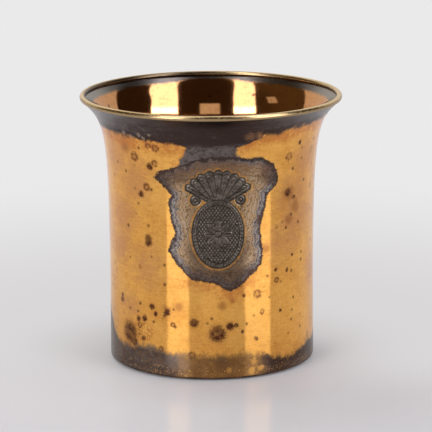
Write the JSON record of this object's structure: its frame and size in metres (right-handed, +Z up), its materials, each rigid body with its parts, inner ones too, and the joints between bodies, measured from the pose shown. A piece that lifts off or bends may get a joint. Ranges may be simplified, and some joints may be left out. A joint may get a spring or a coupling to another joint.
{
  "type": "drinking beaker",
  "caption": "Small gilt silver drinking beaker: nearly straight sheet wall, trumpet-flared lip edged with round wire, engraved medallion on the front, flat soldered base.",
  "frame": {"origin": "centre of the underside of the base, on the surface the beaker stands on", "axes": "+Z up along the axis of revolution, the engraved front faces -Y, +X to the right seen from the front"},
  "size_m": [0.076, 0.076, 0.078],
  "materials": {
    "gilt_wall": "polished gilding with dark tarnish at lip, foot and medallion",
    "gilt_wire": "worn polished gilding",
    "gilt_base": "worn polished gilding",
    "solder": "satin silver solder"
  },
  "bodies": {
    "root": {"body_wall": "gilt_wall", "rim_wire": "gilt_wire", "base_disc": "gilt_base", "base_solder": "solder"}
  },
  "joints": []
}
